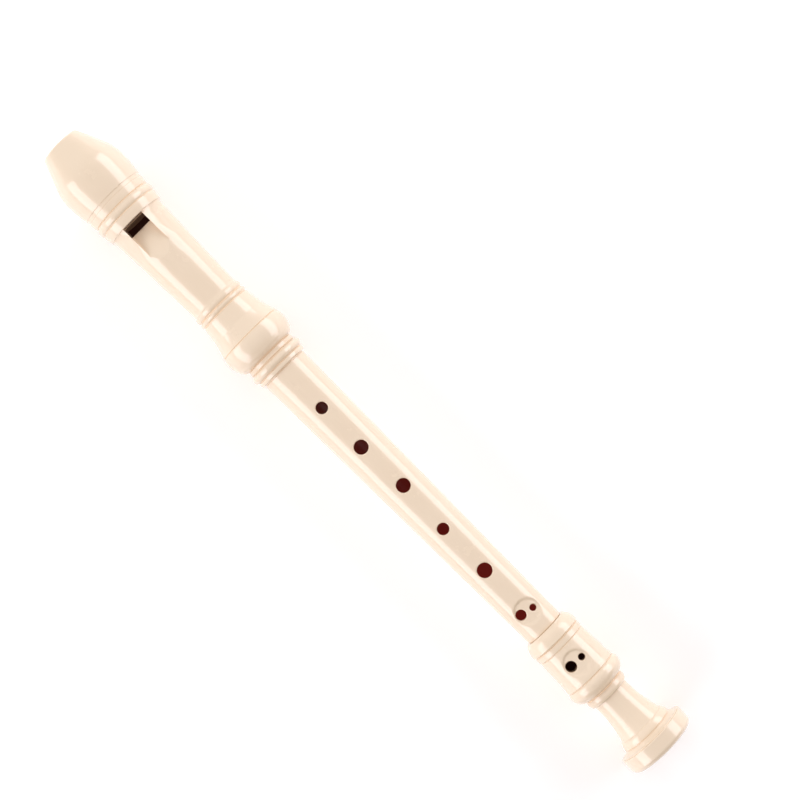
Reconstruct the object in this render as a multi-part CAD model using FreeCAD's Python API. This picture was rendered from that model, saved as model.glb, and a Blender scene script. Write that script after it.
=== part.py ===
"""Three-joint soprano recorder in moulded plastic, lying on its back with the finger holes up.

Stations (x) run along the bore from the mouth tip at 0 to the end of the foot, and radii are
measured from the bore's axis.  Every piece is drawn in that frame and moved at the end, so that
the origin is on the table under the middle of the recorder: +X to the foot, +Z to the finger holes.
All sizes are in millimetres.
"""

import FreeCAD, Part
import os

from FreeCAD import Vector

# ---- driving dimensions -------------------------------------------------------------------
LENGTH = 325.0            # mouth tip to the end of the foot
RIM_RADIUS = 15.0         # foot rim, the widest place, which carries the foot end on a table
BEAK_RADIUS = 14.65       # widest place of the mouthpiece
BULB_RADIUS = 14.45       # widest place of the head's socket bulb

BEAK_END = 41.0           # end of the mouthpiece cap, and upstream edge of the window
SEAM = 102.25             # glue line round the bulb
HEAD_END = 112.6
MIDDLE_START = 112.65     # shoulder of the middle joint
COLLAR_END = 120.35
MIDDLE_END = 260.85
FOOT_START = 260.9
BASE_START = 317.8        # glue line between the foot and its base ring

HEAD_BORE = 6.5           # radius of the cylindrical bore in the head
TUBE_TOP = 10.05          # outside radius of the middle joint at its shoulder
TUBE_END = 8.3            # and at its lower end
MIDDLE_BORE_END = 5.3     # the middle bore tapers from the head's bore to this radius
FOOT_BORE = 5.2

FIT = 0.05                # radial clearance of each tenon in its socket
TENON_UP = 8.8            # radius of the upper tenon
TENON_UP_TIP = 97.0
HEAD_SOCKET_FLOOR = 96.5
SLEEVE = 10.1             # outside radius of the head socket's sleeve
TENON_DOWN = 7.4          # radius of the lower tenon
TENON_DOWN_TIP = 273.2
FOOT_SOCKET_FLOOR = 273.7

SEAL_WIDTH = 1.5          # each sealing ring, along the bore
SEAL_PLAY = 0.03          # room round a ring in its groove and under the socket wall
SEAL_UP = 103.6           # middle of the upper ring
SEAL_DOWN = 266.6
SEAL_DEPTH = 1.0          # depth of a ring's groove

SPIGOT_START = 22.0       # the head barrel's spigot inside the mouthpiece cap
SPIGOT_RADIUS = 10.2
BLOCK_RADIUS = 8.3        # fipple block, in its seat in the spigot
TIP_RADIUS = 8.75         # outline of the mouth tip, before the beak is cut
TIP_UNDERSIDE = 3.4       # height of the beak's cut at the tip
CUT_END = 24.0            # where the beak's cut runs out on the underside
BLOCK_TOP = 7.0           # the block and its seat are flat on top, under the windway's roof

WINDOW_HALF = 4.9         # half the width of the window
LIP = 45.3                # sharp edge of the labium
LIP_HEIGHT = 7.4
RAMP_END = 59.1           # where the labium's ramp runs out on the barrel
RAMP_END_HEIGHT = 11.2

HEAD_TURN = 3.9           # degrees by which the head joint is set to one side, as it is played

RIM_BREAK = 0.35          # rounding of each finger hole's rim
DISH_DEPTH = 0.6          # hollow round each pair of holes

# finger holes: station, sideways offset, diameter
SINGLE_HOLES = [
    (141.5, -0.3, 4.7),
    (162.5, -0.3, 5.6),
    (184.0, 0.7, 5.6),
    (206.3, -0.3, 4.7),
    (228.5, -0.3, 5.9),
]
# pairs of holes: station, offset and radius of the dish, then each hole
MIDDLE_PAIR = (251.1, 0.1, 5.4, [(250.3, -2.6, 4.2), (251.4, 2.6, 2.6)])
FOOT_PAIR = (277.6, -0.4, 5.4, [(277.2, -2.9, 4.4), (277.3, 2.5, 2.7)])
THUMB_HOLE = (132.5, 0.0, 5.2)


# ---- drawing tools ------------------------------------------------------------------------
class Outline:
    """A closed flat outline of straight runs and arcs, in the plane of station and radius."""

    def __init__(self, x, r):
        self.first = self.here = Vector(x, 0, r)
        self.edges = []

    def line(self, x, r):
        there = Vector(x, 0, r)
        self.edges.append(Part.LineSegment(self.here, there).toShape())
        self.here = there
        return self

    def arc(self, through_x, through_r, x, r):
        there = Vector(x, 0, r)
        self.edges.append(Part.Arc(self.here, Vector(through_x, 0, through_r), there).toShape())
        self.here = there
        return self

    def bead(self, x, height, r):
        """A rounded bead to station x and radius r, standing height above the chord."""
        start = self.here
        return self.arc((start.x + x) / 2, (start.z + r) / 2 + height, x, r)

    def face(self):
        self.line(self.first.x, self.first.z)
        return Part.Face(Part.Wire(self.edges))

    def turned(self):
        return self.face().revolve(Vector(0, 0, 0), Vector(1, 0, 0), 360)


def rod(start, end, radius, end_radius=None):
    """A round bar along the bore, tapered if it has a second radius."""
    if end_radius is None:
        return Part.makeCylinder(radius, end - start, Vector(start, 0, 0), Vector(1, 0, 0))
    return Part.makeCone(radius, end_radius, end - start, Vector(start, 0, 0), Vector(1, 0, 0))


def box(start, end, half_width, bottom, top):
    return Part.makeBox(end - start, 2 * half_width, top - bottom, Vector(start, -half_width, bottom))


def drill(station, offset, diameter, side=1):
    """A drill through one wall, along +Z, or along -Z with side=-1."""
    return Part.makeCylinder(diameter / 2, 30, Vector(station, offset, 0), Vector(0, 0, side))


def edges_where(shape, wanted):
    return [e for e in shape.Edges if wanted(e)]


def hole_rims(shape, station, offset, diameter, least_height, side=1):
    """The edges of a drilled hole where it comes out on the outside."""
    reach = diameter / 2 + 0.05

    def on_rim(edge):
        points = [edge.valueAt(edge.FirstParameter + f * (edge.LastParameter - edge.FirstParameter))
                  for f in (0.0, 0.25, 0.5, 0.75)]
        return all(
            side * p.z > least_height
            and abs(((p.x - station) ** 2 + (p.y - offset) ** 2) ** 0.5 - diameter / 2) < reach - diameter / 2
            for p in points
        )

    return edges_where(shape, on_rim)


def rounded(shape, edges, radius):
    """The shape with those edges rounded."""
    if not edges:
        raise RuntimeError("no edge to round")
    return shape.makeFillet(radius, edges)


def tube_radius(station):
    """Outside radius of the middle joint's tapered tube."""
    share = (station - MIDDLE_START) / (MIDDLE_END - MIDDLE_START)
    return TUBE_TOP + share * (TUBE_END - TUBE_TOP)


# ---- head joint ---------------------------------------------------------------------------
def beak_form():
    """The mouthpiece's full turned form, before the beak is cut."""
    form = Outline(0, 0).line(0, TIP_RADIUS - 0.9)
    form.arc(0.2, TIP_RADIUS - 0.15, 0.9, TIP_RADIUS + 0.4)
    form.line(11.3, 13.3)
    form.arc(15.3, 14.42, 20.0, BEAK_RADIUS)
    form.arc(24.5, 14.38, 28.2, 13.8)
    form.line(28.4, 13.55).line(29.9, 13.4).line(30.1, 13.65)     # shallow groove
    form.bead(33.0, 0.1, 13.2).line(33.3, 12.8)
    form.bead(36.9, 0.92, 12.9)                                   # rounded ring
    form.line(37.15, 13.2).bead(40.5, 0.12, 12.75)                # flat band
    form.arc(40.85, 12.65, BEAK_END, 12.3)
    form.line(BEAK_END, 0)
    return form.turned()


def beak_cut(lift):
    """What the beak's underside cut takes away; lift moves its surface up by that much."""
    cut = Outline(-1, TIP_UNDERSIDE + 0.1 + lift)
    cut.arc(12.5 + 0.5 * lift, -1.8 + lift, CUT_END + lift, -15.5)
    cut.line(CUT_END + lift, -30).line(-1, -30)
    return cut.face().extrude(Vector(0, 60, 0)).translated(Vector(0, -30, 0))


def windway_section(station, half_width, floor, height, arch_radius):
    """An arched slot across the bore: its two sides are straight, its floor and roof are arcs."""
    sag = arch_radius - (arch_radius**2 - half_width**2) ** 0.5
    left, right = -half_width, half_width
    roof = Part.Arc(
        Vector(station, left, floor + height - sag),
        Vector(station, 0, floor + height),
        Vector(station, right, floor + height - sag),
    )
    base = Part.Arc(
        Vector(station, right, floor - sag), Vector(station, 0, floor), Vector(station, left, floor - sag)
    )
    return Part.Wire([
        roof.toShape(),
        Part.LineSegment(roof.EndPoint, base.StartPoint).toShape(),
        base.toShape(),
        Part.LineSegment(base.EndPoint, roof.StartPoint).toShape(),
    ])


WINDWAY_TIP = dict(half_width=4.2, floor=5.5, arch_radius=11.0)
WINDWAY_EXIT = dict(half_width=5.0, floor=6.55, arch_radius=300.0)


def windway():
    """The flat air channel from the mouth tip to the window."""
    tip = windway_section(0, height=1.4, **WINDWAY_TIP)
    window_end = windway_section(BEAK_END, height=1.05, **WINDWAY_EXIT)
    return Part.makeLoft([tip, window_end], True, True)


def tongue():
    """The block's tongue under the windway, running forward to the mouth tip."""
    deep = 12.0
    tip = windway_section(0, height=-deep, **WINDWAY_TIP)
    window_end = windway_section(BEAK_END, height=-deep, **WINDWAY_EXIT)
    bar = Part.makeLoft([tip, window_end], True, True)
    bar = bar.common(box(0, SPIGOT_START, 10, -2.0, 12))
    return bar.cut(beak_cut(0))


def beak_cap():
    """Mouthpiece shell: thin walled, with the windway's roof and the tongue's slot inside it."""
    wall = 2.2
    cap = beak_form().cut(beak_cut(0))
    cap = cap.cut(rod(SPIGOT_START, BEAK_END + 1, SPIGOT_RADIUS))
    hollow = Outline(7.5, 0).line(7.5, 9.4).line(11.3, 13.3 - wall)
    hollow.arc(15.0, 14.3 - wall, 20.0, BEAK_RADIUS - wall).line(SPIGOT_START, BEAK_RADIUS - wall)
    hollow.line(SPIGOT_START, 0)
    duct = box(0, SPIGOT_START, 6.6, -3.2, 9.0)
    cap = cap.cut(hollow.turned().cut(beak_cut(wall)).cut(duct))
    cap = cap.cut(windway()).cut(tongue())
    return cap


def fipple_block():
    """Plug that closes the top of the bore and forms the windway's floor."""
    plug = rod(SPIGOT_START, BEAK_END, BLOCK_RADIUS).cut(windway())
    plug = plug.cut(box(SPIGOT_START, BEAK_END, 12, BLOCK_TOP, 15))
    pocket = rod(SPIGOT_START - 1, BEAK_END - 2.5, 6.2).common(box(SPIGOT_START - 1, BEAK_END, 9, -9, 4.2))
    return plug.cut(pocket).fuse(tongue()).removeSplitter()


def barrel_form():
    """Outside of the head barrel: spigot, tapered tube, two beads and the bulb's upper half."""
    form = Outline(SPIGOT_START, 0).line(SPIGOT_START, SPIGOT_RADIUS - 0.4)
    form.line(SPIGOT_START + 0.4, SPIGOT_RADIUS).line(BEAK_END, SPIGOT_RADIUS)
    form.line(BEAK_END, 12.0).arc(60.0, 11.2, 82.2, 10.55)
    form.arc(83.2, 10.6, 83.8, 10.8).line(84.0, 11.0)                 # cove before the first bead
    form.bead(86.1, 0.3, 10.95).line(86.45, 10.5).line(86.85, 10.95)
    form.bead(88.4, 0.35, 11.0).line(88.8, 10.6).line(89.2, 11.1)
    form.arc(92.8, 11.55, 96.0, 12.05)
    form.arc(98.8, 12.9, SEAM - 0.25, 14.0).line(SEAM, 13.7)
    form.line(SEAM, 0)
    return form.turned()


def ramp_cut():
    """Wedge above the labium's ramp, with upright side walls."""
    slope = (RAMP_END_HEIGHT - LIP_HEIGHT) / (RAMP_END - LIP)
    far = RAMP_END + 12
    wedge = Outline(BEAK_END, LIP_HEIGHT - slope * (LIP - BEAK_END)).line(far, LIP_HEIGHT + slope * (far - LIP))
    wedge.line(far, 20).line(BEAK_END, 20)
    return wedge.face().extrude(Vector(0, 2 * WINDOW_HALF, 0)).translated(Vector(0, -WINDOW_HALF, 0))


def head_barrel():
    """Head tube with the block's seat, the window, the labium and the bulb's thin upper half."""
    seat = rod(SPIGOT_START - 1, BEAK_END, BLOCK_RADIUS)
    barrel = barrel_form().cut(seat.cut(box(SPIGOT_START - 2, BEAK_END + 1, 12, BLOCK_TOP, 15)))
    barrel = barrel.cut(rod(BEAK_END - 1, HEAD_SOCKET_FLOOR, HEAD_BORE))
    barrel = barrel.cut(windway()).cut(ramp_cut())
    barrel = barrel.cut(box(BEAK_END, LIP, WINDOW_HALF, 0, 20))
    barrel = barrel.cut(box(BEAK_END, LIP + 4.0, WINDOW_HALF - 0.1, 2.0, LIP_HEIGHT - 0.35))
    socket = Outline(HEAD_SOCKET_FLOOR, 0).line(HEAD_SOCKET_FLOOR, SLEEVE).line(98.4, SLEEVE)
    socket.arc(99.6, SLEEVE + 0.5, 100.3, 11.4).line(SEAM, 11.7).line(SEAM, 0)
    return barrel.cut(socket.turned())


def head_socket_collar():
    """Lower half of the bulb with the sleeve that takes the upper tenon."""
    inner = TENON_UP + FIT
    form = Outline(HEAD_SOCKET_FLOOR, inner).line(HEAD_SOCKET_FLOOR, SLEEVE).line(SEAM, SLEEVE)
    form.line(103.0, SLEEVE).arc(103.4, 11.2, SEAM, 11.7)                    # hollow beside the sleeve
    form.line(SEAM, 13.7).line(SEAM + 0.25, 14.0)
    form.arc(105.7, BULB_RADIUS, 109.9, 13.45).arc(111.9, 12.0, HEAD_END, 10.45)
    form.line(HEAD_END, inner + 0.4).line(HEAD_END - 0.4, inner)
    return form.turned()


# ---- middle joint -------------------------------------------------------------------------
def seal_groove(middle, radius):
    return rod(middle - SEAL_WIDTH / 2 - SEAL_PLAY, middle + SEAL_WIDTH / 2 + SEAL_PLAY, radius + 1).cut(
        rod(middle - SEAL_WIDTH, middle + SEAL_WIDTH, radius - SEAL_DEPTH)
    )


def grease_grooves(stations, radius):
    """Fine grooves round a tenon that hold the joint grease."""
    rings = [Part.makeTorus(radius + 0.25, 0.5, Vector(s, 0, 0), Vector(1, 0, 0)) for s in stations]
    return Part.makeCompound(rings)


def middle_form():
    form = Outline(TENON_UP_TIP, 0).line(TENON_UP_TIP, TENON_UP - 0.6).line(TENON_UP_TIP + 0.6, TENON_UP)
    form.line(MIDDLE_START, TENON_UP).line(MIDDLE_START, TUBE_TOP)
    quirk_floor = tube_radius(COLLAR_END) - 0.3
    form.line(COLLAR_END, tube_radius(COLLAR_END)).line(COLLAR_END + 0.08, quirk_floor)
    form.line(COLLAR_END + 0.42, quirk_floor).line(COLLAR_END + 0.6, tube_radius(COLLAR_END + 0.6))
    form.line(MIDDLE_END - 0.15, TUBE_END).line(MIDDLE_END, TUBE_END - 0.15).line(MIDDLE_END, TENON_DOWN)
    form.line(TENON_DOWN_TIP - 0.6, TENON_DOWN).line(TENON_DOWN_TIP, TENON_DOWN - 0.6)
    form.line(TENON_DOWN_TIP, 0)
    return form.turned()


def dish(station, offset, radius, outside):
    """Round shallow hollow whose floor follows the tube."""
    plug = Part.makeCylinder(radius, 30, Vector(station, offset, 0), Vector(0, 0, 1))
    return plug.cut(rod(station - 12, station + 12, outside - DISH_DEPTH))


def with_hole(shape, station, offset, diameter, outside, side=1):
    """One finger hole with a rounded rim."""
    shape = shape.cut(drill(station, offset, diameter, side))
    least = (outside**2 - (abs(offset) + diameter / 2) ** 2) ** 0.5 - 0.6
    return rounded(shape, hole_rims(shape, station, offset, diameter, least, side), RIM_BREAK)


def with_pair(shape, pair, outside):
    """Two holes side by side in one dish."""
    station, offset, radius, holes = pair
    shape = shape.cut(dish(station, offset, radius, outside))
    for hole in holes:
        shape = with_hole(shape, *hole, outside - DISH_DEPTH)
    return shape


def middle_tube():
    """Tapered tube with a tenon at each end, six places for fingers and the thumb hole."""
    tube = middle_form().cut(rod(TENON_UP_TIP - 1, TENON_DOWN_TIP + 1, HEAD_BORE, MIDDLE_BORE_END))
    tube = tube.cut(seal_groove(SEAL_UP, TENON_UP)).cut(seal_groove(SEAL_DOWN, TENON_DOWN))
    tube = tube.cut(grease_grooves((99.4, 108.0, 110.2), TENON_UP))
    tube = tube.cut(grease_grooves((270.6,), TENON_DOWN))
    for station, offset, diameter in SINGLE_HOLES:
        tube = with_hole(tube, station, offset, diameter, tube_radius(station))
    tube = with_hole(tube, *THUMB_HOLE, tube_radius(THUMB_HOLE[0]), side=-1)
    return with_pair(tube, MIDDLE_PAIR, tube_radius(MIDDLE_PAIR[0]))


def middle_collar():
    """Ring with a bead and a band, bonded round the top of the middle tube."""
    ring = Outline(MIDDLE_START, TUBE_TOP).line(MIDDLE_START, 10.4)
    ring.arc(112.8, 10.75, 113.1, 10.85).line(114.4, 11.0).line(114.75, 10.65)
    ring.bead(118.05, 1.15, 11.2).line(118.4, 10.65)
    ring.line(118.75, 11.1).bead(119.9, 0.06, 10.95).arc(120.2, 10.85, COLLAR_END, 10.6)
    ring.line(COLLAR_END, tube_radius(COLLAR_END))
    return ring.turned()


def seal_ring(middle, tenon_radius):
    """Rubber ring as it sits squeezed in its groove."""
    inner = tenon_radius - SEAL_DEPTH + SEAL_PLAY
    outer = tenon_radius + FIT - SEAL_PLAY
    half = SEAL_WIDTH / 2
    flat = 0.35
    ring = Outline(middle - flat, inner).line(middle + flat, inner)
    ring.arc(middle + half, (inner + outer) / 2, middle + flat, outer).line(middle - flat, outer)
    ring.arc(middle - half, (inner + outer) / 2, middle - flat, inner)
    return Part.Face(Part.Wire(ring.edges)).revolve(Vector(0, 0, 0), Vector(1, 0, 0), 360)


# ---- foot joint ---------------------------------------------------------------------------
FOOT_PAIR_RADIUS = 11.05      # outside of the foot at its pair of holes
BORE_TUBE = 6.9               # outside of the tube that carries the bore through the hollow flare
LIP_START = 316.4             # the base ring's lip inside the flare, seated on a cone
LIP_RADIUS = 10.5
LIP_SEAT = 11.9


def foot_form():
    """Outside of the foot down to its base ring."""
    form = Outline(FOOT_START, 0).line(FOOT_START, 9.15).arc(261.0, 9.4, 261.3, 9.6)
    form.arc(263.3, 10.8, 265.9, 11.3).arc(266.5, 11.2, 266.6, 10.85).line(266.85, 10.45)  # socket bead
    form.line(267.1, 10.85).bead(269.35, 0.08, 10.85).line(269.6, 10.5)                     # narrow band
    form.line(269.85, 10.75).arc(277.5, 11.05, 283.4, 11.3).line(283.55, 11.45)             # holes' body
    form.line(285.1, 11.55).line(285.4, 11.15).line(285.7, 11.55).arc(286.6, 12.05, 288.1, 12.2)
    form.arc(290.8, 11.1, 292.1, 9.1).line(292.35, 8.55)                                    # large bead
    form.line(292.6, 8.95).bead(295.6, 0.4, 8.65).line(295.95, 7.8)                         # small ring
    form.arc(305.0, 8.2, 312.5, 9.9).line(312.8, 10.35)                                     # waist
    form.bead(315.6, 0.2, 11.4).line(315.9, 11.05).line(316.2, 11.55)                       # band
    form.arc(317.05, 12.8, 317.5, 14.2).line(BASE_START, 14.35)                             # cove
    form.line(BASE_START, 0)
    return form.turned()


def foot_body():
    """Foot with the lower socket, the bore, its pair of holes and the thin walled flare."""
    inner = TENON_DOWN + FIT
    bore_tube = rod(BASE_START, LENGTH - 0.6, BORE_TUBE).fuse(
        rod(LENGTH - 0.6, LENGTH, BORE_TUBE, BORE_TUBE - 0.3)
    )
    hollow = Outline(309.5, BORE_TUBE).line(312.5, 7.6).arc(314.8, 8.8, LIP_START, LIP_RADIUS)
    hollow.line(BASE_START, LIP_SEAT).line(BASE_START, BORE_TUBE)
    foot = foot_form().cut(hollow.turned()).fuse(bore_tube).removeSplitter()
    foot = foot.cut(rod(FOOT_START - 1, FOOT_SOCKET_FLOOR, inner))
    foot = foot.cut(rod(FOOT_START - 0.01, FOOT_START + 0.6, inner + 0.6, inner))
    foot = foot.cut(rod(FOOT_SOCKET_FLOOR - 1, LENGTH + 1, FOOT_BORE))
    return with_pair(foot, FOOT_PAIR, FOOT_PAIR_RADIUS)


def foot_base_ring():
    """Rim ring that closes the flare, dished on its underside round a flat resting face."""
    web = LENGTH - 2.4
    ring = Outline(LIP_START, 9.4).line(LIP_START, LIP_RADIUS).line(BASE_START, LIP_SEAT)
    ring.line(BASE_START, 14.5).arc(BASE_START + 0.15, 14.9, BASE_START + 0.6, RIM_RADIUS)
    ring.line(LENGTH - 2.3, RIM_RADIUS).arc(LENGTH - 0.7, 14.4, LENGTH, 12.95)
    ring.line(LENGTH, 10.6).arc(LENGTH - 0.45, 9.0, LENGTH - 0.6, BORE_TUBE)
    ring.line(web, BORE_TUBE).line(web, 9.0)
    return ring.turned()


# ---- the assembly -------------------------------------------------------------------------
PIECES = {
    "beak_cap": beak_cap,
    "fipple_block": fipple_block,
    "head_barrel": head_barrel,
    "head_socket_collar": head_socket_collar,
    "middle_tube": middle_tube,
    "middle_collar": middle_collar,
    "upper_seal_ring": lambda: seal_ring(SEAL_UP, TENON_UP),
    "lower_seal_ring": lambda: seal_ring(SEAL_DOWN, TENON_DOWN),
    "foot_body": foot_body,
    "foot_base_ring": foot_base_ring,
}

HEAD = ("beak_cap", "fipple_block", "head_barrel", "head_socket_collar")

os.makedirs("parts", exist_ok=True)
TO_TABLE = Vector(-LENGTH / 2, 0, RIM_RADIUS)
for name, make in PIECES.items():
    piece = make()
    if name in HEAD:
        piece.rotate(Vector(0, 0, 0), Vector(1, 0, 0), HEAD_TURN)
    piece.translate(TO_TABLE)
    piece.exportStep(f"parts/{name}.step")
    print(f"{name:20s} solids {len(piece.Solids)} valid {piece.isValid()} volume {piece.Volume:9.1f} mm3")
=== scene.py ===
"""Looks of a moulded soprano recorder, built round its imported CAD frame.

The turned shells are meshed again from the frame's own outlines, with soft edges, rounded hole
rims and dished pairs of holes.  Lengths are in metres unless a name ends in _MM or _mm.
"""
import bmesh
import bpy
import math
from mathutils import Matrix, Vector


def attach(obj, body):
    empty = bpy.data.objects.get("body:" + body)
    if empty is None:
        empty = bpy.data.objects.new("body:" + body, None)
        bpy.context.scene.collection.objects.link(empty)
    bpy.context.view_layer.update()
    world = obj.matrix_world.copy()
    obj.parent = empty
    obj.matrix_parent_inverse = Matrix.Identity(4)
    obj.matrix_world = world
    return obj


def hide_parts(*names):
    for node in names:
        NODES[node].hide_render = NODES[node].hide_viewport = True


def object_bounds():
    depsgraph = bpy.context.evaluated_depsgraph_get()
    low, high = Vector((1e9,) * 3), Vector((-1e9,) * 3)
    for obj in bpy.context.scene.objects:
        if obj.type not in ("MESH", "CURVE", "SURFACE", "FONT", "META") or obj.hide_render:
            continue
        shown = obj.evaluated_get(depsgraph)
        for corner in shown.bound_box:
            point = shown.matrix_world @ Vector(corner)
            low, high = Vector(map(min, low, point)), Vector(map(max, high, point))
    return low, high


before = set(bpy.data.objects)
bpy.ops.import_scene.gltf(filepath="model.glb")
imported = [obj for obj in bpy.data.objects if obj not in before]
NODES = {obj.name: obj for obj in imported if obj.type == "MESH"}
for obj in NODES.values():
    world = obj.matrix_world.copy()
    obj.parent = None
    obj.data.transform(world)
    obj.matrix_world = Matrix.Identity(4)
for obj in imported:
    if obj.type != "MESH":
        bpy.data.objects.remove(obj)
cad_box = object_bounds()

MM = 0.001
MOUTH = cad_box[0].x                          # station 0, the tip of the beak
AXIS_Z = (cad_box[0].z + cad_box[1].z) / 2    # height of the bore's axis

AROUND = 144              # columns round a turned shell
SOFT_EDGE = 0.10 * MM     # rounding of a moulded edge
EDGE_STEPS = 3
EDGE_SHARE = 0.42         # most of a run that the rounding at one of its ends may take
LONGEST_RUN = 2.0 * MM    # longest quad along the bore
CORNER = math.radians(24)          # an outline turns more than this at an edge
IN_LINE = math.radians(0.2)        # and less than this at a point that it doesn't need
SECTION_ANGLE = math.radians(3)    # outlines are read this far above the horizontal, clear of the holes
SKIN_SHARE = 0.75         # a point beyond this share of the outside's radius is on the outside

# finger holes, in millimetres: station, sideways offset, diameter
SINGLE_HOLES_MM = [
    (141.5, -0.3, 4.7),
    (162.5, -0.3, 5.6),
    (184.0, 0.7, 5.6),
    (206.3, -0.3, 4.7),
    (228.5, -0.3, 5.9),
]
THUMB_HOLE_MM = (132.5, 0.0, 5.2)
MIDDLE_PAIR_MM = dict(dish=(251.1, 0.1, 5.4), holes=[(250.3, -2.6, 4.2), (251.4, 2.6, 2.6)])
FOOT_PAIR_MM = dict(dish=(277.6, -0.4, 5.4), holes=[(277.2, -2.9, 4.4), (277.3, 2.5, 2.7)])
DISH_DEPTH = 0.6 * MM
DISH_SLOPE_MOUTH = 0.8 * MM    # width of a dish's slope on its side toward the mouth
DISH_SLOPE_FOOT = 1.8 * MM     # and on its side toward the foot
DISH_MARGIN = 0.15 * MM        # the slope begins this far outside the dish
RIM_ROUND = 0.42 * MM
HOLE_ROOM = 1.6 * MM      # from a single hole's edge to the border of its refilled block
DISH_ROOM = 0.7 * MM      # from a dish's edge to the border of its block
DISH_ROWS = 30
HOLE_FLOOR = 2.0 * MM     # a hole's wall is carried down to this far from the axis, into the bore

# outside radius of each shell where the holes are
SINGLES_RADIUS = 9.3 * MM
THUMB_RADIUS = 9.8 * MM
MIDDLE_PAIR_RADIUS = 8.7 * MM
FOOT_PAIR_RADIUS = 11.1 * MM

HEAD_BORE = 6.5 * MM
MIDDLE_BORE = 5.4 * MM
FOOT_BORE = 5.2 * MM

# colours
IVORY = (0.85, 0.70, 0.53)
IVORY_DEEP = (0.81, 0.65, 0.47)
# painted shade: the colour put into creases, where shade falls
PAINTED_CREASE_SHADE = (0.66, 0.52, 0.38)
# painted shade on slopes that nearby shapes half hide
SLOPE_SHADE = (0.75, 0.57, 0.40)
# colour of the painted glow in the fipple block's hollows
PAINTED_GLOW_BROWN = (0.85, 0.44, 0.23)
BLACK = (0.0, 0.0, 0.0)
# painted shade on the bore's wall: black in the head and foot, red in the middle tube
BORE_SHADE_BLACK = (0.12, 0.03, 0.02)
BORE_SHADE_RED = (0.30, 0.03, 0.02)
# painted glow on the bore's wall, standing in for light coming through the plastic
NO_GLOW = (0.001, 0.0004, 0.0002)
DIM_GLOW = (0.022, 0.0008, 0.001)
RED_GLOW = (0.062, 0.006, 0.004)
RUBBER = (0.36, 0.25, 0.16)
GREASED_RUBBER = (0.44, 0.33, 0.22)
FLOOR_WHITE = (0.95, 0.95, 0.95)
WHITE = (1.0, 1.0, 1.0)
WARM_LIGHT = (1.0, 0.84, 0.66)
SOFTBOX_TINT = (1.0, 0.94, 1.0)

# camera straight above the recorder, turned so that it lies from corner to corner
CAMERA_PLACE = (-0.0022, 0.0227, 0.911)
CAMERA_TURN = math.radians(44.94)
CAMERA_ANGLE = math.radians(19.34)

# studio: sizes and places in metres, light power in watts
FLOOR_SIZE = 6.0
FLOOR_GAP = 0.2 * MM      # the floor lies this far under the table plane
FLOOR_GLOW = 0.18
SKY_STRENGTH = 0.60
SKY_DIMMING = 0.36        # how much weaker the sky is toward the foot
SOFTBOX_DISTANCE = 0.9
SOFTBOX_TILT = math.radians(67)   # from straight above
SOFTBOX_X = -0.02
SOFTBOX_SIZE = (1.22, 0.52)
SOFTBOX_POWER = 5.6
FILL_PLACE = (-1.1, 0.0, 0.75)
FILL_SIZE = (1.0, 0.6)
FILL_POWER = 3.0


def station(mm):
    """The frame's x of a station measured from the mouth tip."""
    return MOUTH + mm * MM


# ---- outlines taken from the frame -------------------------------------------------------------
def section_loop(node):
    """Closed outline (x, radius) of a turned node where a half plane through the axis cuts it."""
    out = Vector((0, math.cos(SECTION_ANGLE), math.sin(SECTION_ANGLE)))
    normal = Vector((0, -math.sin(SECTION_ANGLE), math.cos(SECTION_ANGLE)))
    origin = Vector((0, 0, AXIS_Z))
    bm = bmesh.new()
    bm.from_mesh(NODES[node].data)
    bmesh.ops.remove_doubles(bm, verts=bm.verts, dist=1e-6)
    cut = bmesh.ops.bisect_plane(
        bm, geom=bm.verts[:] + bm.edges[:] + bm.faces[:], dist=1e-9, plane_co=origin, plane_no=normal
    )["geom_cut"]
    edges = [e for e in cut if isinstance(e, bmesh.types.BMEdge)]
    edges = [e for e in edges if all((v.co - origin).dot(out) > 0 for v in e.verts)]
    links = {}
    for e in edges:
        a, b = e.verts
        links.setdefault(a, []).append(b)
        links.setdefault(b, []).append(a)
    first = edges[0].verts[0]
    loop, here, before = [], first, None
    while True:
        loop.append((here.co.x, (here.co - origin).dot(out)))
        onward = [v for v in links[here] if v is not before]
        here, before = onward[0], here
        if here is first:
            break
    bm.free()
    return loop


def thinned(points, least=0.02 * MM):
    """The outline without points that sit on top of each other or in line."""
    kept = []
    for p in points:
        if not kept or math.dist(p, kept[-1]) > least:
            kept.append(p)
    if math.dist(kept[0], kept[-1]) <= least:
        kept.pop()
    result = []
    for k, p in enumerate(kept):
        if abs(turn_at(kept, k)) > IN_LINE:
            result.append(p)
    return result


def turn_at(points, k):
    """How much a closed outline turns at point k."""
    a, b, c = points[k - 1], points[k], points[(k + 1) % len(points)]
    before = math.atan2(b[1] - a[1], b[0] - a[0])
    after = math.atan2(c[1] - b[1], c[0] - b[0])
    return (after - before + math.pi) % (2 * math.pi) - math.pi


def softened(points, closed=True):
    """The outline with each sharp corner replaced by a small arc."""
    result = []
    n = len(points)
    for k, p in enumerate(points):
        turn = turn_at(points, k)
        if abs(turn) < CORNER or (not closed and k in (0, n - 1)):
            result.append(p)
            continue
        before, after = Vector(points[k - 1]), Vector(points[(k + 1) % n])
        here = Vector(p)
        shorter = min((before - here).length, (after - here).length)
        reach = min(SOFT_EDGE * math.tan(abs(turn) / 2), EDGE_SHARE * shorter)
        start = here + (before - here).normalized() * reach
        end = here + (after - here).normalized() * reach
        for step in range(EDGE_STEPS + 1):
            t = step / EDGE_STEPS
            q = start * (1 - t) ** 2 + here * (2 * t * (1 - t)) + end * t**2
            result.append((q.x, q.y))
    return result


def divided(points, longest=LONGEST_RUN, closed=True):
    """The outline with each long run divided into equal parts."""
    result = []
    n = len(points)
    for k in range(n if closed else n - 1):
        a, b = Vector(points[k]), Vector(points[(k + 1) % n])
        parts = max(1, math.ceil((b - a).length / longest))
        for step in range(parts):
            q = a.lerp(b, step / parts)
            result.append((q.x, q.y))
    if not closed:
        result.append(points[-1])
    return result


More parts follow.
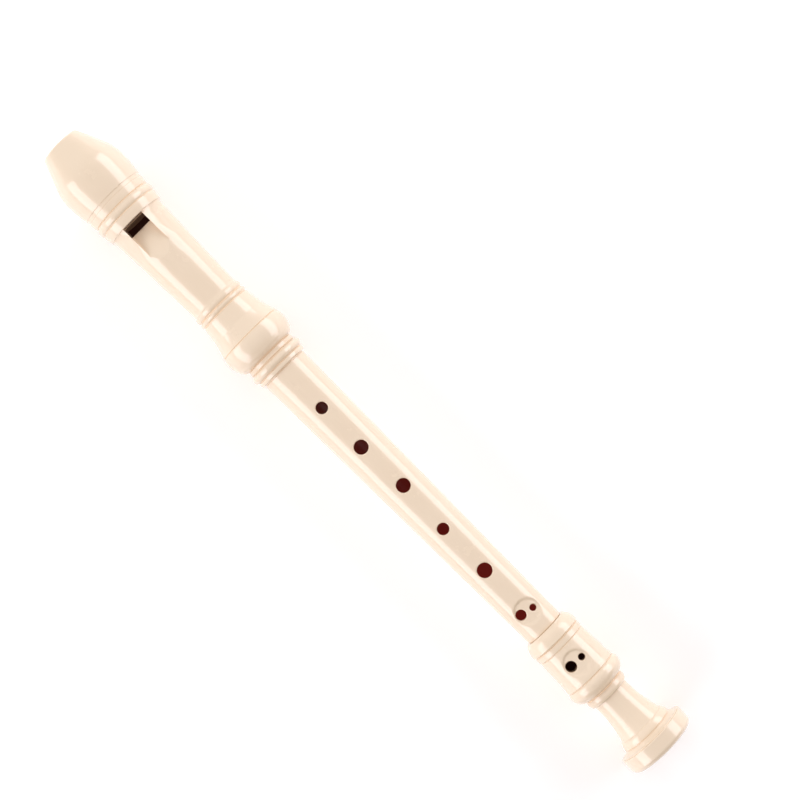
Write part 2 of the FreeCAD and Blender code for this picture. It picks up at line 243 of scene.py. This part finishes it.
# ---- turned shells -----------------------------------------------------------------------------
def at(x, radius, column):
    """Point on a turned shell; column 0 is the top."""
    angle = 2 * math.pi * column / AROUND
    return Vector((x, radius * math.sin(angle), AXIS_Z + radius * math.cos(angle)))


def revolve(bm, points, closed=True):
    """Rings of vertices, one per outline point, and the faces between them."""
    rings = []
    for x, r in points:
        if r < 1e-7:
            rings.append([bm.verts.new((x, 0, AXIS_Z))] * AROUND)
        else:
            rings.append([bm.verts.new(at(x, r, j)) for j in range(AROUND)])
    faces = {}
    for i in range(len(points) if closed else len(points) - 1):
        a, b = rings[i], rings[(i + 1) % len(rings)]
        for j in range(AROUND):
            k = (j + 1) % AROUND
            corners = []
            for v in (a[j], b[j], b[k], a[k]):
                if v not in corners:
                    corners.append(v)
            faces[i, j] = bm.faces.new(corners)
    return rings, faces


def finished(bm, name, body, node, material):
    """The bmesh as a piece that rides on a body and stands for its CAD node."""
    bmesh.ops.recalc_face_normals(bm, faces=bm.faces)
    mesh = bpy.data.meshes.new(name)
    bm.to_mesh(mesh)
    bm.free()
    mesh.shade_smooth()
    piece = bpy.data.objects.new(name, mesh)
    bpy.context.scene.collection.objects.link(piece)
    mesh.materials.append(material)
    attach(piece, body)
    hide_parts(node)
    return piece


def weighted(piece):
    """The piece with its shading led by its larger faces."""
    normals = piece.modifiers.new("weighted_normals", "WEIGHTED_NORMAL")
    normals.keep_sharp = True
    normals.weight = 60
    return piece


def turned_piece(node, name, body, material):
    """A shell with no holes, turned from its CAD node's own outline."""
    bm = bmesh.new()
    revolve(bm, divided(softened(thinned(section_loop(node)))))
    return weighted(finished(bm, name, body, node, material))


# ---- tubes with finger holes -------------------------------------------------------------------
def outer_and_bore(loop):
    """Splits a tube's closed outline into its outside and its bore, both running toward the foot."""
    low_x, high_x = min(p[0] for p in loop), max(p[0] for p in loop)
    near = 0.02 * MM
    start = min((p for p in loop if p[0] < low_x + near), key=lambda p: p[1])
    end = min((p for p in loop if p[0] > high_x - near), key=lambda p: p[1])
    s, e = loop.index(start), loop.index(end)
    one = [loop[(s + k) % len(loop)] for k in range((e - s) % len(loop) + 1)]
    other = [loop[(e + k) % len(loop)] for k in range((s - e) % len(loop) + 1)][::-1]
    return (one, other) if max(p[1] for p in one) > max(p[1] for p in other) else (other, one)


def radius_at(points, x):
    """Radius of the outside at x, read off an outline that runs toward the foot."""
    best = 0.0
    for a, b in zip(points, points[1:]):
        low, high = min(a[0], b[0]), max(a[0], b[0])
        if low <= x <= high and high > low:
            share = (x - a[0]) / (b[0] - a[0])
            best = max(best, a[1] + share * (b[1] - a[1]))
    return best


def with_rows(points, start, end, rows):
    """The outside's outline with evenly spaced rows between two stations in place of its own points."""
    grid = [start + (end - start) * k / rows for k in range(rows + 1)]
    stations = [(x, radius_at(points, x)) for x in grid]
    before, after, seen = [], [], False
    skin = SKIN_SHARE * radius_at(points, (start + end) / 2)
    for p in points:
        inside = start - 0.2 * MM < p[0] < end + 0.2 * MM and p[1] > skin
        if inside:
            seen = True
        elif seen or (p[0] >= end and p[1] > skin):
            seen = True
            after.append(p)
        else:
            before.append(p)
    return before + stations + after


def smooth(t):
    """0 to 1 with no corner at either end."""
    t = min(1.0, max(0.0, t))
    return t * t * (3 - 2 * t)


def dish_depth(x, y, dish):
    """How far the shell is hollowed at a point: a round dish, steeper on its side toward the mouth."""
    if dish is None:
        return 0.0
    dx, dy = x - dish[0], y - dish[1]
    distance = math.hypot(dx, dy)
    toward_foot = 0.5 + 0.5 * dx / max(distance, 1e-9)
    slope = DISH_SLOPE_MOUTH + (DISH_SLOPE_FOOT - DISH_SLOPE_MOUTH) * toward_foot
    return DISH_DEPTH * smooth((dish[2] + DISH_MARGIN - distance) / slope)


def height(outline, x, y, dish):
    """Height of the shell's top above the axis, at a point seen from above."""
    radius = radius_at(outline, x) - dish_depth(x, y, dish)
    return math.sqrt(max(radius**2 - y**2, 0.0))


def fill_round_hole(bm, border, outline, hole, dish):
    """Rings from the block's border to the hole, its rounded rim, its wall and a blind floor."""
    x0, y0, radius, side = hole
    plan = [(v.co.x, v.co.y) for v in border]
    if dish:
        for vertex, (px, py) in zip(border, plan):
            vertex.co.z = AXIS_Z + side * height(outline, px, py, dish)
    angles = [math.atan2(py - y0, px - x0) for px, py in plan]
    count = len(border)
    sense = 1 if (angles[1] - angles[0] + math.pi) % (2 * math.pi) - math.pi > 0 else -1
    step = sense * 2 * math.pi / count
    lags = [angle - step * k for k, angle in enumerate(angles)]
    first = math.atan2(sum(math.sin(lag) for lag in lags), sum(math.cos(lag) for lag in lags))
    even = [first + step * k for k in range(count)]
    own_share = 0.35  # of the border's own, uneven angles; the rest is even spacing round the hole
    mixed = []
    for own, uniform in zip(angles, even):
        gap = (own - uniform + math.pi) % (2 * math.pi) - math.pi
        mixed.append(uniform + own_share * gap)

    def ring(make):
        return [bm.verts.new(make(k)) for k in range(count)]

    def on_skin(k, share):
        rim = radius + RIM_ROUND
        cx, cy = x0 + rim * math.cos(mixed[k]), y0 + rim * math.sin(mixed[k])
        px, py = plan[k][0] + share * (cx - plan[k][0]), plan[k][1] + share * (cy - plan[k][1])
        return Vector((px, py, AXIS_Z + side * height(outline, px, py, dish)))

    def on_rim(k, turn):
        edge = on_skin(k, 1.0)
        reach = radius + RIM_ROUND * (1 - math.sin(turn))
        drop = RIM_ROUND * (1 - math.cos(turn))
        px, py = x0 + reach * math.cos(mixed[k]), y0 + reach * math.sin(mixed[k])
        return Vector((px, py, edge.z - side * drop))

    def on_wall(k, share):
        top = on_rim(k, math.pi / 2)
        floor = AXIS_Z + side * HOLE_FLOOR
        return Vector((top.x, top.y, top.z + share * (floor - top.z)))

    skin_rings, rim_rings, wall_rings = 9, 5, 4
    rings = [border]
    rings += [ring(lambda k, s=s: on_skin(k, s / skin_rings)) for s in range(1, skin_rings + 1)]
    rings += [ring(lambda k, s=s: on_rim(k, math.pi / 2 * s / rim_rings)) for s in range(1, rim_rings + 1)]
    rings += [ring(lambda k, s=s: on_wall(k, s / wall_rings)) for s in range(1, wall_rings + 1)]
    for a, b in zip(rings, rings[1:]):
        for k in range(count):
            m = (k + 1) % count
            bm.faces.new((a[k], a[m], b[m], b[k]))
    bm.faces.new(rings[-1])


def tube_with_holes(node, name, body, material, blocks):
    """A turned tube with blocks of cells refilled round its holes, then bored through."""
    exact, bore = outer_and_bore(thinned(section_loop(node)))
    outside = divided(softened(exact, closed=False), closed=False)
    for block in blocks:
        outside = with_rows(outside, block["start"], block["end"], block["rows"])
    capped = [(outside[0][0], 0.0)] + outside + [(outside[-1][0], 0.0)]
    bm = bmesh.new()
    rings, faces = revolve(bm, capped, closed=False)
    for block in blocks:
        fill_block(bm, rings, faces, capped, block, exact)
    loose = [v for v in bm.verts if not v.link_faces]
    bmesh.ops.delete(bm, geom=loose, context="VERTS")
    piece = finished(bm, name, body, node, material)
    bored_through(piece, bore)
    return weighted(piece)


def fill_block(bm, rings, faces, capped, block, outline):
    """Cuts a block of cells out of the shell and refills it round each of its holes."""
    rows = [i for i, p in enumerate(capped) if block["start"] - 1e-7 <= p[0] <= block["end"] + 1e-7
            and p[1] > SKIN_SHARE * radius_at(outline, p[0])]
    i0, i1 = rows[0], rows[-1]
    for columns, hole in zip(block["columns"], block["holes"]):
        j0, j1 = columns
        gone = [faces[i, j % AROUND] for i in range(i0, i1) for j in range(j0, j1)]
        bmesh.ops.delete(bm, geom=gone, context="FACES_ONLY")
        border = [rings[i0][j % AROUND] for j in range(j0, j1)]
        border += [rings[i][j1 % AROUND] for i in range(i0, i1)]
        border += [rings[i1][j % AROUND] for j in range(j1, j0, -1)]
        border += [rings[i][j0 % AROUND] for i in range(i1, i0, -1)]
        fill_round_hole(bm, border, outline, hole, block["dish"])


def bored_through(piece, bore):
    """Cuts the bore out of a solid tube."""
    bm = bmesh.new()
    overhang = 1.0 * MM
    line = divided(thinned_open(bore), longest=4 * MM, closed=False)
    line = [(line[0][0] - overhang, line[0][1])] + line + [(line[-1][0] + overhang, line[-1][1])]
    revolve(bm, [(line[0][0], 0.0)] + line + [(line[-1][0], 0.0)], closed=False)
    bmesh.ops.recalc_face_normals(bm, faces=bm.faces)
    mesh = bpy.data.meshes.new("bore_cutter")
    bm.to_mesh(mesh)
    bm.free()
    cutter = bpy.data.objects.new("bore_cutter", mesh)
    bpy.context.scene.collection.objects.link(cutter)
    cut = piece.modifiers.new("bore", "BOOLEAN")
    cut.object, cut.operation, cut.solver = cutter, "DIFFERENCE", "EXACT"
    bpy.context.view_layer.update()
    bored = bpy.data.meshes.new_from_object(piece.evaluated_get(bpy.context.evaluated_depsgraph_get()))
    piece.modifiers.remove(cut)
    piece.data = bored
    bored.shade_smooth()
    bpy.data.objects.remove(cutter)


def thinned_open(points):
    """An open line without the points that lie in line."""
    result = [points[0]]
    for a, b, c in zip(points, points[1:], points[2:]):
        turn = math.atan2(c[1] - b[1], c[0] - b[0]) - math.atan2(b[1] - a[1], b[0] - a[0])
        if abs(turn) > IN_LINE:
            result.append(b)
    return result + [points[-1]]


def columns_for(y_low, y_high, radius, side):
    """Columns of the grid nearest to two sideways offsets, on the top or on the bottom."""
    step = 2 * math.pi / AROUND
    low = round(math.asin(y_low / radius) / step)
    high = round(math.asin(y_high / radius) / step)
    if side > 0:
        return low, high
    half = AROUND // 2
    return half - high, half - low


def single_block(hole_mm, radius, side=1):
    """The block of cells round one hole; side is 1 on the top and -1 underneath."""
    x, y, diameter = station(hole_mm[0]), hole_mm[1] * MM, hole_mm[2] * MM
    room = diameter / 2 + HOLE_ROOM
    columns = columns_for(y - room, y + room, radius, side)
    return dict(start=x - room, end=x + room, rows=columns[1] - columns[0], dish=None,
                columns=[columns], holes=[(x, y, diameter / 2, side)])


def pair_block(pair_mm, radius):
    """The block round a dish with two holes, split between them."""
    dish_x, dish_y, dish_radius = pair_mm["dish"]
    x, y, dish_radius = station(dish_x), dish_y * MM, dish_radius * MM
    room = dish_radius + DISH_ROOM
    (_, y_a, d_a), (_, y_b, d_b) = pair_mm["holes"]
    split = ((y_a + d_a / 2) + (y_b - d_b / 2)) / 2 * MM
    low, middle = columns_for(y - room, split, radius, 1)
    _, high = columns_for(y - room, y + room, radius, 1)
    holes = [(station(h[0]), h[1] * MM, h[2] / 2 * MM, 1) for h in pair_mm["holes"]]
    return dict(start=x - room, end=x + room, rows=DISH_ROWS, dish=(x, y, dish_radius),
                columns=[(low, middle), (middle, high)], holes=holes)


# ---- materials ---------------------------------------------------------------------------------
def plain_material(name, colour, roughness):
    """A material of one colour."""
    material = bpy.data.materials.new(name)
    material.use_nodes = True
    shader = material.node_tree.nodes["Principled BSDF"]
    shader.inputs["Base Color"].default_value = (*colour, 1)
    shader.inputs["Roughness"].default_value = roughness
    return material


def add_node(tree, kind, inputs=None, **settings):
    """A shader node with its settings; inputs holds constants and the sockets to link from."""
    node = tree.nodes.new(kind)
    for key, value in settings.items():
        setattr(node, key, value)
    for key, value in (inputs or {}).items():
        if isinstance(value, bpy.types.NodeSocket):
            tree.links.new(value, node.inputs[key])
        else:
            node.inputs[key].default_value = value
    return node


def mix_colour(tree, factor, a, b):
    """Colour a where factor is 0 and b where it is 1."""
    node = add_node(tree, "ShaderNodeMix", data_type="RGBA")
    for socket, value in ((node.inputs[0], factor), (node.inputs[6], a), (node.inputs[7], b)):
        if isinstance(value, bpy.types.NodeSocket):
            tree.links.new(value, socket)
        else:
            socket.default_value = value if isinstance(value, float) else (*value, 1)
    return node.outputs[2]


def arithmetic(tree, operation, a, b=0.0, c=0.0):
    """The result of a Math node; each value is a number or a socket."""
    node = add_node(tree, "ShaderNodeMath", operation=operation)
    for socket, value in zip(node.inputs, (a, b, c)):
        if isinstance(value, bpy.types.NodeSocket):
            tree.links.new(value, socket)
        else:
            socket.default_value = value
    return node.outputs[0]


def ramp(tree, value, low, high):
    """0 below low and 1 above high, smooth between."""
    node = add_node(tree, "ShaderNodeMapRange", interpolation_type="SMOOTHSTEP")
    tree.links.new(value, node.inputs["Value"])
    node.inputs["From Min"].default_value = low
    node.inputs["From Max"].default_value = high
    return node.outputs["Result"]


def bore_mask(tree, parts, bore_radius, dark_span_mm):
    """Where the bore's painted shade goes: 1 on the wall of the bore between two stations, fading over 8
    mm beyond them; 0 on the outside.
    """
    up = arithmetic(tree, "SUBTRACT", parts["Z"], AXIS_Z)
    across = arithmetic(tree, "MULTIPLY", parts["Y"], parts["Y"])
    radius = arithmetic(tree, "SQRT", arithmetic(tree, "MULTIPLY_ADD", up, up, across))
    inside = ramp(tree, radius, bore_radius + 1.3 * MM, bore_radius + 0.3 * MM)
    first, last = dark_span_mm
    past_first = ramp(tree, parts["X"], station(first - 8), station(first))
    before_last = ramp(tree, parts["X"], station(last + 8), station(last))
    along = arithmetic(tree, "MULTIPLY", past_first, before_last)
    return arithmetic(tree, "MULTIPLY", inside, along)


def add_bump(tree, height, strength, distance):
    """A fine relief on the material's shader."""
    inputs = {"Height": height, "Strength": strength, "Distance": distance}
    bump = add_node(tree, "ShaderNodeBump", inputs)
    tree.links.new(bump.outputs["Normal"], tree.nodes["Principled BSDF"].inputs["Normal"])


def ivory_plastic(
    name, seed, bore_radius=None, bore_shade=None, glow=None, dark_span_mm=(0, 325), roughness=0.22,
    crease_glow=0.25, crease_glow_colour=IVORY, reach=1.2 * MM,
):
    """Polished ivory ABS: faint mottling, orange peel and rubbed patches, with painted shade and
    painted glow in creases, painted shade on half-hidden slopes and a bore painted dark.

    seed moves the mottling.  The bore's wall is painted with shade between the two stations of
    dark_span_mm and fades to ivory beyond them.  glow holds the two red-brown painted glows on the
    bore's wall, toward the head and toward the foot, standing in for light that comes through the
    plastic.  The plastic's own creases, looked for within reach, get painted glow of the given crease
    glow strength and colour.  A piece with no bore of its own has no bore_radius.
    """
    material = bpy.data.materials.new(name)
    material.use_nodes = True
    tree = material.node_tree
    shader = tree.nodes["Principled BSDF"]
    place = add_node(tree, "ShaderNodeTexCoord").outputs["Object"]
    shift = add_node(tree, "ShaderNodeMapping", {"Vector": place})
    shift.inputs["Location"].default_value = (seed * 0.37, seed * 0.11, seed * 0.53)
    moved = shift.outputs["Vector"]

    def noise(scale, detail=3.0, rough=0.5):
        inputs = {"Vector": moved, "Scale": scale, "Detail": detail, "Roughness": rough}
        return add_node(tree, "ShaderNodeTexNoise", inputs).outputs["Fac"]

    def openness(distance):
        inputs = {"Distance": distance}
        return add_node(tree, "ShaderNodeAmbientOcclusion", inputs, samples=8).outputs["AO"]

    mottle = ramp(tree, noise(55.0), 0.30, 0.75)
    colour = mix_colour(tree, arithmetic(tree, "MULTIPLY", mottle, 0.25), IVORY, IVORY_DEEP)
    # painted shade: slopes half hidden within 9 mm turn toward the slope shade colour
    slope = ramp(tree, openness(9.0 * MM), 0.96, 0.68)
    colour = mix_colour(tree, arithmetic(tree, "MULTIPLY", slope, 0.8), colour, SLOPE_SHADE)
    crease = ramp(tree, openness(reach), 0.85, 0.35)
    # painted glow: a little emission in the creases, standing in for light the plastic carries in
    crease_glow_amount = arithmetic(tree, "MULTIPLY", crease, crease_glow)
    painted_crease_glow = mix_colour(tree, crease_glow_amount, BLACK, crease_glow_colour)
    # painted shade: creases hidden within reach are darkened toward the crease shade colour
    colour = mix_colour(tree, arithmetic(tree, "MULTIPLY", crease, 0.3), colour, PAINTED_CREASE_SHADE)
    rubbed = ramp(tree, noise(130.0, 5.0, 0.6), 0.45, 0.75)
    gloss = arithmetic(tree, "MULTIPLY_ADD", rubbed, 0.08, roughness)
    peel = noise(900.0, 2.0)
    grain = noise(5200.0, 2.0)
    relief = arithmetic(tree, "MULTIPLY_ADD", grain, 0.25, peel)
    add_bump(tree, relief, 0.10, 0.02 * MM)
    shader.inputs["IOR"].default_value = 1.5
    shader.inputs["Coat Roughness"].default_value = 0.08
    shader.inputs["Coat Weight"].default_value = 1.0
    shader.inputs["Emission Strength"].default_value = 1.0
    if bore_radius is None:
        tree.links.new(colour, shader.inputs["Base Color"])
        tree.links.new(painted_crease_glow, shader.inputs["Emission Color"])
        tree.links.new(gloss, shader.inputs["Roughness"])
        return material
    parts = add_node(tree, "ShaderNodeSeparateXYZ", {"Vector": place}).outputs
    inside = bore_mask(tree, parts, bore_radius, dark_span_mm)
    # painted shade: the bore's wall is painted dark
    colour = mix_colour(tree, inside, colour, bore_shade)
    tree.links.new(colour, shader.inputs["Base Color"])
    # painted glow on the bore's wall, dimmer toward the head and redder toward the foot
    along = ramp(tree, parts["X"], station(130), station(255))
    painted_bore_glow = mix_colour(tree, along, glow[0], glow[1])
    tree.links.new(mix_colour(tree, inside, painted_crease_glow, painted_bore_glow), shader.inputs["Emission Color"])
    tree.links.new(arithmetic(tree, "MULTIPLY_ADD", inside, 0.5, gloss), shader.inputs["Roughness"])
    tree.links.new(arithmetic(tree, "SUBTRACT", 1.0, inside), shader.inputs["Coat Weight"])
    return material


def seal_rubber():
    """Greased tan rubber."""
    material = plain_material("seal_rubber", RUBBER, 0.4)
    tree = material.node_tree
    shader = tree.nodes["Principled BSDF"]
    place = add_node(tree, "ShaderNodeTexCoord").outputs["Object"]
    inputs = {"Vector": place, "Scale": 420.0, "Detail": 4.0}
    smear = add_node(tree, "ShaderNodeTexNoise", inputs).outputs["Fac"]
    colour = mix_colour(tree, ramp(tree, smear, 0.35, 0.7), RUBBER, GREASED_RUBBER)
    tree.links.new(colour, shader.inputs["Base Color"])
    tree.links.new(arithmetic(tree, "MULTIPLY_ADD", smear, 0.3, 0.18), shader.inputs["Roughness"])
    add_bump(tree, smear, 0.2, 0.03 * MM)
    return material


# ---- camera, floor and lights ------------------------------------------------------------------
def make_camera():
    """A long lens straight above the recorder."""
    data = bpy.data.cameras.new("camera")
    data.angle = CAMERA_ANGLE
    data.clip_start, data.clip_end = 0.01, 20
    cam = bpy.data.objects.new("camera", data)
    bpy.context.scene.collection.objects.link(cam)
    cam.location = CAMERA_PLACE
    cam.rotation_euler = (0, 0, CAMERA_TURN)
    bpy.context.scene.camera = cam


def area_light(name, place, target, size, power, colour=WHITE):
    """A rectangular light at a place, facing a target."""
    data = bpy.data.lights.new(name, "AREA")
    data.shape = "RECTANGLE"
    data.size, data.size_y = size
    data.energy = power
    data.color = colour
    light = bpy.data.objects.new(name, data)
    bpy.context.scene.collection.objects.link(light)
    light.location = place
    light.rotation_euler = (Vector(target) - Vector(place)).to_track_quat("-Z", "Y").to_euler()
    return light


def make_floor():
    """A plain white floor that glows a little, so that it stays white in the picture."""
    bpy.ops.mesh.primitive_plane_add(size=FLOOR_SIZE, location=(0, 0, -FLOOR_GAP))
    floor = bpy.context.object
    floor.name = "floor"
    white = plain_material("floor_white", FLOOR_WHITE, 0.9)
    shader = white.node_tree.nodes["Principled BSDF"]
    shader.inputs["Emission Color"].default_value = (*WHITE, 1)
    shader.inputs["Emission Strength"].default_value = FLOOR_GLOW
    floor.data.materials.append(white)


def make_sky():
    """A white studio all round, weaker and warmer toward the foot."""
    world = bpy.data.worlds.new("studio")
    world.use_nodes = True
    tree = world.node_tree
    direction = add_node(tree, "ShaderNodeTexCoord").outputs["Generated"]
    toward_foot = add_node(tree, "ShaderNodeSeparateXYZ", {"Vector": direction}).outputs["X"]
    dimming = ramp(tree, toward_foot, 0.25, 0.85)
    strength = arithmetic(tree, "MULTIPLY_ADD", dimming, -SKY_DIMMING, SKY_STRENGTH)
    hue = mix_colour(tree, dimming, WHITE, WARM_LIGHT)
    tree.links.new(hue, tree.nodes["Background"].inputs["Color"])
    tree.links.new(strength, tree.nodes["Background"].inputs["Strength"])
    bpy.context.scene.world = world
    bpy.context.scene.view_settings.view_transform = "Standard"


def make_lights():
    """A long softbox on each side of the recorder, and a weak fill from the head's end."""
    target = (SOFTBOX_X, 0, AXIS_Z)
    out = SOFTBOX_DISTANCE * math.sin(SOFTBOX_TILT)
    up = SOFTBOX_DISTANCE * math.cos(SOFTBOX_TILT)
    for side in (-1, 1):
        place = (SOFTBOX_X, side * out, AXIS_Z + up)
        area_light(f"softbox_{side}", place, target, SOFTBOX_SIZE, SOFTBOX_POWER, SOFTBOX_TINT)
    fill = area_light("head_side_fill", FILL_PLACE, (0, 0, AXIS_Z), FILL_SIZE, FILL_POWER)
    fill.visible_glossy = False


make_camera()
make_floor()
make_sky()
make_lights()

head_ivory = ivory_plastic("ivory_head", 1, HEAD_BORE, BORE_SHADE_BLACK, [NO_GLOW, NO_GLOW], crease_glow=0.3)
middle_ivory = ivory_plastic(
    "ivory_middle", 2, MIDDLE_BORE, BORE_SHADE_RED, [DIM_GLOW, RED_GLOW], dark_span_mm=(108, 258), crease_glow=0.12
)
foot_ivory = ivory_plastic("ivory_foot", 3, FOOT_BORE, BORE_SHADE_BLACK, [NO_GLOW, NO_GLOW], crease_glow=0.2)
beak_ivory = ivory_plastic("ivory_beak", 4)
block_ivory = ivory_plastic(
    "ivory_block", 5, roughness=0.34, crease_glow=0.08, crease_glow_colour=PAINTED_GLOW_BROWN, reach=9.0 * MM
)
rubber = seal_rubber()
FINISH = {
    "beak_cap": beak_ivory,
    "fipple_block": block_ivory,
    "head_barrel": head_ivory,
    "head_socket_collar": head_ivory,
    "middle_tube": middle_ivory,
    "middle_collar": middle_ivory,
    "upper_seal_ring": rubber,
    "lower_seal_ring": rubber,
    "foot_body": foot_ivory,
    "foot_base_ring": foot_ivory,
}
for name, material in FINISH.items():
    NODES[name].data.materials.clear()
    NODES[name].data.materials.append(material)

turned_piece("middle_collar", "middle_collar_shell", "middle", middle_ivory)
turned_piece("head_socket_collar", "head_bulb_lower_shell", "head", head_ivory)
turned_piece("foot_base_ring", "foot_base_ring_shell", "foot", foot_ivory)
middle_blocks = [single_block(hole, SINGLES_RADIUS) for hole in SINGLE_HOLES_MM]
middle_blocks.append(pair_block(MIDDLE_PAIR_MM, MIDDLE_PAIR_RADIUS))
middle_blocks.append(single_block(THUMB_HOLE_MM, THUMB_RADIUS, side=-1))
middle_blocks.sort(key=lambda block: block["start"])
foot_blocks = [pair_block(FOOT_PAIR_MM, FOOT_PAIR_RADIUS)]
tube_with_holes("middle_tube", "middle_tube_shell", "middle", middle_ivory, middle_blocks)
tube_with_holes("foot_body", "foot_body_shell", "foot", foot_ivory, foot_blocks)
